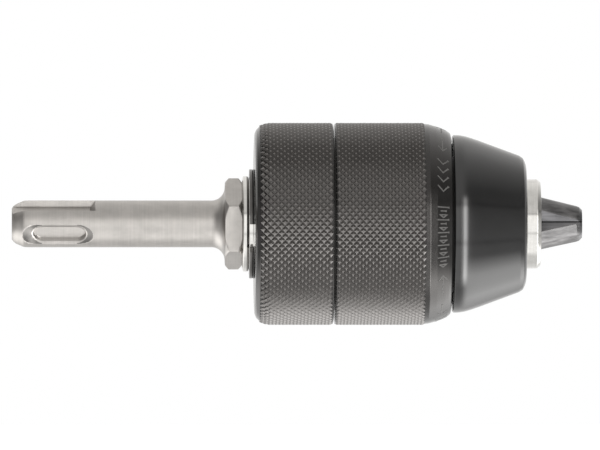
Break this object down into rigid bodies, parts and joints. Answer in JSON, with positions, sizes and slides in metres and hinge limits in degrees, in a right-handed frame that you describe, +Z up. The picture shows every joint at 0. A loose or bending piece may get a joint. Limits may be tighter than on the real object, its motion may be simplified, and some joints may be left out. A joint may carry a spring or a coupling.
{
  "type": "keyless drill chuck",
  "caption": "Two-sleeve keyless three-jaw drill chuck with a grooved quick-change hammer-drill shank.",
  "frame": {"origin": "on the chuck's axis, at the middle of the plain round length of the shank between its grooves and the fillet under the hexagon", "axes": "+X along the chuck's axis towards the jaws, +Z up; one jaw gap lies 7 degrees above -Y"},
  "size_m": [0.1218, 0.0432, 0.0432],
  "materials": {
    "ground_steel": "ground and polished bright steel",
    "jaw_steel": "hardened and ground, dark grey",
    "nut_steel": "turned steel",
    "dark_steel": "blackened spring steel",
    "cage_brass": "stamped brass",
    "phosphated_steel": "phosphated, diamond knurl",
    "black_enamel": "smooth black, glossy"
  },
  "bodies": {
    "body": {"chuck_body": "ground_steel", "sds_adapter": "ground_steel", "locking_screw": "dark_steel", "thrust_washer": "ground_steel", "ratchet_ring": "dark_steel", "rear_sleeve": "phosphated_steel", "nose_cover": "black_enamel", "retaining_ring": "dark_steel", "spring_washer": "dark_steel"},
    "drive": {"front_sleeve": "phosphated_steel", "nut_half_a": "nut_steel", "nut_half_b": "nut_steel", "nut_collar": "dark_steel", "pawl_pin": "ground_steel"},
    "bearing": {"bearing_balls": "ground_steel", "ball_cage": "cage_brass"},
    "pawl": {"latch_pawl": "ground_steel"},
    "jaw_a": {"jaw_1": "jaw_steel"},
    "jaw_b": {"jaw_2": "jaw_steel"},
    "jaw_c": {"jaw_3": "jaw_steel"}
  },
  "joints": [
    {"name": "sleeve_turn", "type": "hinge", "parent": "body", "child": "drive", "pos_m": [0.05, 0, 0], "axis": [1, 0, 0], "range_deg": [0, 4050]},
    {"name": "bearing_roll", "type": "hinge", "parent": "body", "child": "bearing", "pos_m": [0.0487, 0, 0], "axis": [1, 0, 0], "range_deg": [0, 2025]},
    {"name": "pawl_swing", "type": "hinge", "parent": "drive", "child": "pawl", "pos_m": [0.062, -0.01498, 0.00865], "axis": [1, 0, 0], "range_deg": [0, 3.5]},
    {"name": "jaw_a_slide", "type": "slide", "parent": "body", "child": "jaw_a", "axis": [-0.9659, -0.1011, 0.2382], "range_m": [0, 0.0225]},
    {"name": "jaw_b_slide", "type": "slide", "parent": "body", "child": "jaw_b", "axis": [-0.9659, -0.1558, -0.2067], "range_m": [0, 0.0225]},
    {"name": "jaw_c_slide", "type": "slide", "parent": "body", "child": "jaw_c", "axis": [-0.9659, 0.2569, -0.0315], "range_m": [0, 0.0225]}
  ],
  "couplings": [
    {"joint": "bearing_roll", "follows": "sleeve_turn", "ratio": 0.5},
    {"joint": "jaw_a_slide", "follows": "sleeve_turn", "m_per_rad": 0.00031831},
    {"joint": "jaw_b_slide", "follows": "sleeve_turn", "m_per_rad": 0.00031831},
    {"joint": "jaw_c_slide", "follows": "sleeve_turn", "m_per_rad": 0.00031831}
  ]
}
